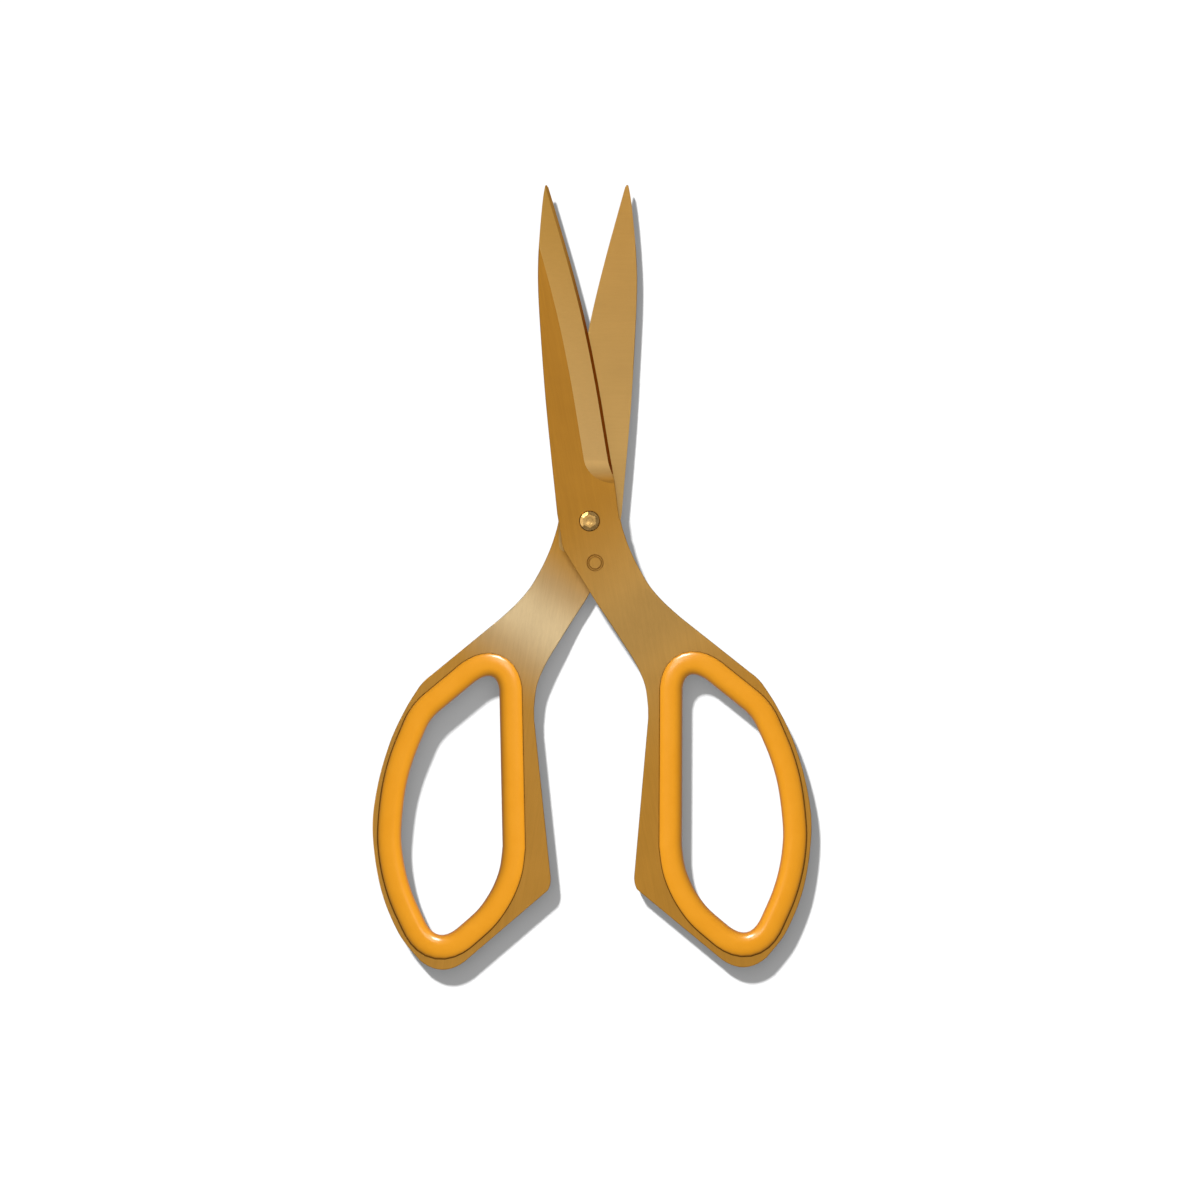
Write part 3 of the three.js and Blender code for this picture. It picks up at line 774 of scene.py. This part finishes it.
post_low, post_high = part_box("pivot_post")
HEAD_MARGIN, HEAD_LIFT = 0.00005, 0.00005
HEAD_CORNER = HEAD_RADIUS + HEAD_MARGIN
HEAD_HEIGHT = screw_high.z - (OUTER - HEAD_SEAT) - HEAD_LIFT
FACET_TILT, FACET_FALL, FIRST_FACET = math.radians(26), 0.0005, 128
DIMPLE_RADIUS, DIMPLE_DEPTH = 0.0032, 0.00022
SCREW_SHANK, POST_HOLE, OVERLAP = 0.0012, 0.00125, 0.0003
for name, node, face_level, away in (("pivot_screw_bright", "pivot_screw", screw_high.z, 1),
                                     ("pivot_post_bright", "pivot_post", post_low.z, -1)):
    bpy.ops.object.select_all(action="DESELECT")
    bpy.ops.mesh.primitive_cylinder_add(vertices=72, radius=HEAD_CORNER, depth=HEAD_HEIGHT,
                                        location=(0, 0, HEAD_HEIGHT / 2))
    head = bpy.context.active_object
    head.name = head.data.name = name
    bpy.ops.object.transform_apply(location=True, rotation=True, scale=True)

    # Six facets are cut round the top, and a shallow dimple is struck in its middle.
    bpy.ops.object.mode_set(mode="EDIT")
    for i in range(6):
        turned = math.radians(FIRST_FACET + 60 * i)
        out = Vector((math.cos(turned), math.sin(turned)))
        bpy.ops.mesh.select_all(action="SELECT")
        bpy.ops.mesh.bisect(plane_co=(*(out * HEAD_CORNER), HEAD_HEIGHT - FACET_FALL),
                            plane_no=(*(out * math.sin(FACET_TILT)), math.cos(FACET_TILT)),
                            use_fill=True, clear_outer=True)
    bpy.ops.object.mode_set(mode="OBJECT")
    bpy.ops.object.select_all(action="DESELECT")
    ball_level = HEAD_HEIGHT + DIMPLE_RADIUS - DIMPLE_DEPTH
    bpy.ops.mesh.primitive_uv_sphere_add(segments=48, ring_count=32, radius=DIMPLE_RADIUS,
                                         location=(0, 0, ball_level))
    bpy.ops.object.shade_smooth()
    work(head, bpy.context.active_object, "DIFFERENCE")
    soften = head.modifiers.new("soften", "BEVEL")
    soften.width = 0.00008
    soften.segments = 2
    soften.limit_method = "ANGLE"
    soften.angle_limit = math.radians(20)
    only(head)
    bpy.ops.object.modifier_apply(modifier=soften.name)

    # The shank below: the screw's solid one, or the post's tube round it.
    reach = (face_level - (screw_low.z if away > 0 else post_high.z)) * away - HEAD_HEIGHT
    radius = SCREW_SHANK if away > 0 else POST_RADIUS
    bpy.ops.object.select_all(action="DESELECT")
    bpy.ops.mesh.primitive_cylinder_add(vertices=48, radius=radius, depth=reach + OVERLAP,
                                        location=(0, 0, (OVERLAP - reach) / 2))
    shank = bpy.context.active_object
    bpy.ops.object.transform_apply(location=True, rotation=True, scale=True)
    work(head, shank, "UNION")
    if away < 0:
        bpy.ops.object.select_all(action="DESELECT")
        depth = reach + HEAD_HEIGHT / 2
        bpy.ops.mesh.primitive_cylinder_add(vertices=48, radius=POST_HOLE, depth=depth,
                                            location=(0, 0, -reach - 0.0001 + depth / 2))
        work(head, bpy.context.active_object, "DIFFERENCE")
        head.data.transform(Matrix.Rotation(math.pi, 4, "Y"))
        head.data.transform(Matrix.Translation((0, 0, post_low.z + HEAD_HEIGHT)))
    else:
        head.data.transform(Matrix.Translation((0, 0, screw_high.z - HEAD_HEIGHT)))
    head.data.materials.clear()
    head.data.materials.append(bright)
    only(head)
    bpy.ops.object.shade_smooth_by_angle(angle=math.radians(25))
    settle = head.modifiers.new("settle", "WEIGHTED_NORMAL")
    settle.keep_sharp = True
    settle.weight = 100
    bpy.ops.object.modifier_apply(modifier=settle.name)
    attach(head, "rear")
    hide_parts(node)

# ---------------------------------------------------------------- The washers
# Two flat rings hidden in the joint: a brass one between the ride pads, which sets the friction,
# and a spring one under the head of the post.

BRASS_COLOUR, SPRING_COLOUR = (0.65, 0.48, 0.20), (0.50, 0.49, 0.47)
brass = finish("washer_brass", 35, BRASS_COLOUR, BRASS_COLOUR, EVEN,
               rough=0.36, count=6000, stretch=12, depth=0.000006)
spring = finish("spring_steel", 60, SPRING_COLOUR, SPRING_COLOUR, EVEN,
                rough=0.34, count=6000, stretch=12, depth=0.000006)
for node, steel, slot in (("friction_washer", brass, "washer_brass"),
                          ("spring_washer", spring, "spring_steel")):
    low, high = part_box(node)
    bpy.ops.object.select_all(action="DESELECT")
    bpy.ops.mesh.primitive_cylinder_add(vertices=72, radius=high.x, depth=high.z - low.z,
                                        location=(0, 0, (low.z + high.z) / 2))
    ring = bpy.context.active_object
    ring.name = ring.data.name = node + "_ring"
    bpy.ops.object.transform_apply(location=True, rotation=True, scale=True)
    bpy.ops.mesh.primitive_cylinder_add(vertices=72, radius=POST_RADIUS + POST_PLAY, depth=0.004,
                                        location=(0, 0, (low.z + high.z) / 2))
    work(ring, bpy.context.active_object, "DIFFERENCE")
    soften = ring.modifiers.new("soften", "BEVEL")
    soften.width = 0.00005
    soften.segments = 2
    soften.limit_method = "ANGLE"
    only(ring)
    bpy.ops.object.modifier_apply(modifier=soften.name)
    ring.data.materials.clear()
    ring.data.materials.append(steel)
    bpy.ops.object.shade_smooth_by_angle(angle=math.radians(30))
    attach(ring, "rear")
    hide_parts(node)

# ---------------------------------------------------------------- The table
# A plain white sheet that the scissors lie on. No mesh lights another, so the shadow on the sheet
# stays a neutral grey beside the gold, and the steel doesn't mirror the sheet.

TABLE_SIZE, TABLE_GAP = 6, 0.0002
bpy.ops.object.select_all(action="DESELECT")
bpy.ops.mesh.primitive_plane_add(size=TABLE_SIZE, location=(0, 0, grip_low.z - TABLE_GAP))
table = bpy.context.active_object
table.name = "table"
paper = bpy.data.materials.new("white_sheet")
paper.use_nodes = True
shader = paper.node_tree.nodes["Principled BSDF"]
shader.inputs["Base Color"].default_value = (0.46, 0.46, 0.46, 1)
shader.inputs["Roughness"].default_value = 0.9
shader.inputs["Specular IOR Level"].default_value = 0.0
table.data.materials.append(paper)
for piece in bpy.data.objects:
    if piece.type == "MESH":
        piece.visible_diffuse = False
table.visible_glossy = False

# ---------------------------------------------------------------- Studio
# A key from the upper left throws the short shadow on the table. Soft boxes and cards draw the
# light bands on the steel, and each grip has a key and a glint of its own, mirrored about the
# middle. Each lamp is linked to what it lights, and the room round them is even and soft.

scene = bpy.context.scene
scene.view_settings.view_transform = "Standard"
table_only = bpy.data.collections.new("table_only")
table_only.objects.link(table)

room = bpy.data.worlds.new("room")
room.use_nodes = True
room.node_tree.nodes["Background"].inputs["Color"].default_value = (1, 1, 1, 1)
room.node_tree.nodes["Background"].inputs["Strength"].default_value = 0.33
scene.world = room


def aim(lamp, place, target):
    lamp.location = place
    lamp.rotation_euler = (Vector(target) - Vector(place)).to_track_quat("-Z", "Y").to_euler()


sun = bpy.data.lights.new("table_key", "SUN")
sun.energy = 8.2
sun.angle = math.radians(5)
table_key = bpy.data.objects.new("table_key", sun)
scene.collection.objects.link(table_key)
aim(table_key, (-0.28, 0.52, 0.50), (0, 0, 0))
table_key.light_linking.receiver_collection = table_only

pivot_only = bpy.data.collections.new("pivot_only")
steel_only = bpy.data.collections.new("steel_only")
rear_only = bpy.data.collections.new("rear_only")
rear_only.objects.link(rear)
ring_only = {}
for piece in bpy.data.objects:
    if piece.type != "MESH" or piece is table:
        continue
    if piece in (front_grip, rear_grip):
        ring_only[piece.name] = bpy.data.collections.new(piece.name + "_only")
        ring_only[piece.name].objects.link(piece)
    else:
        steel_only.objects.link(piece)
    if piece.name.startswith("pivot"):
        pivot_only.objects.link(piece)

# Near lamps: their place, width, depth, watts, and what they light. The panel over the table has
# only its own shadow rays, because those are what the scissors stop.
for name, place, width, depth, power, lit in (
        ("ceiling", (0.0, 0.0, 1.3), 1.6, 1.6, 5.6, steel_only),
        ("soft_box", (0.16, 0.23, 0.70), 0.24, 0.24, 0.50, steel_only),
        ("side_card", (-0.80, -0.15, 0.40), 0.4, 0.4, 1.2, steel_only),
        ("window", (0.0, 0.90, 0.30), 0.36, 0.08, 2.2, steel_only),
        ("card_ahead", (0.0, 1.6, 0.40), 3.4, 0.7, 7.5, steel_only),
        ("card_behind", (0.0, -1.6, 0.40), 3.4, 0.7, 7.5, steel_only),
        ("card_left", (-1.6, 0.0, 0.40), 3.4, 0.7, 7.5, steel_only),
        ("card_right", (1.6, 0.0, 0.40), 3.4, 0.7, 7.5, steel_only),
        ("sky_panel", (0.0, -0.01, 0.25), 0.5, 0.5, 0.62, table_only)):
    box = bpy.data.lights.new(name, "AREA")
    box.shape = "RECTANGLE"
    box.size, box.size_y = width, depth
    box.energy = power
    lamp = bpy.data.objects.new(name, box)
    scene.collection.objects.link(lamp)
    aim(lamp, place, (0, -0.02, 0))
    lamp.light_linking.receiver_collection = lit
    lamp.visible_camera = False
    box.cycles.use_multiple_importance_sampling = lit is not table_only

# Far lamps: their direction, brightness, width in degrees, and what they light. A glint shows only
# in the gloss.
for name, place, bright_as, wide, lit in (
        ("scissors_key", (-0.32, 0.53, 0.50), 0.35, 8, steel_only),
        ("pivot_glint", (-0.32, 0.50, 0.50), 2.6, 14, pivot_only),
        ("rear_pad_glint", (-0.74, 0.05, 0.67), 0.25, 20, rear_only),
        ("rear_grip_key", (0.36, 0.46, 0.81), 2.35, 30, ring_only["rear_grip_silicone"]),
        ("front_grip_key", (-0.36, 0.46, 0.81), 2.35, 30, ring_only["front_grip_silicone"]),
        ("rear_grip_glint", (0.30, 0.92, 0.34), 14.0, 22, ring_only["rear_grip_silicone"]),
        ("front_grip_glint", (-0.30, 0.92, 0.34), 14.0, 22, ring_only["front_grip_silicone"])):
    far = bpy.data.lights.new(name, "SUN")
    far.energy = bright_as
    far.angle = math.radians(wide)
    lamp = bpy.data.objects.new(name, far)
    scene.collection.objects.link(lamp)
    aim(lamp, place, (0, 0, 0))
    lamp.light_linking.receiver_collection = lit
    lamp.visible_diffuse = not name.endswith("glint")

# The camera looks straight down. FIELD is the width that it sees at the middle level.
FIELD, DISTANCE, SENSOR = 0.3192, 1.1, 36
lens = bpy.data.cameras.new("camera")
lens.sensor_width = SENSOR
lens.lens = SENSOR * DISTANCE / FIELD
camera = bpy.data.objects.new("camera", lens)
scene.collection.objects.link(camera)
camera.location = (0.0013, -0.0198, DISTANCE + MIDDLE)
camera.rotation_euler = (0, 0, math.radians(-0.47))
scene.camera = camera

bpy.context.view_layer.update()
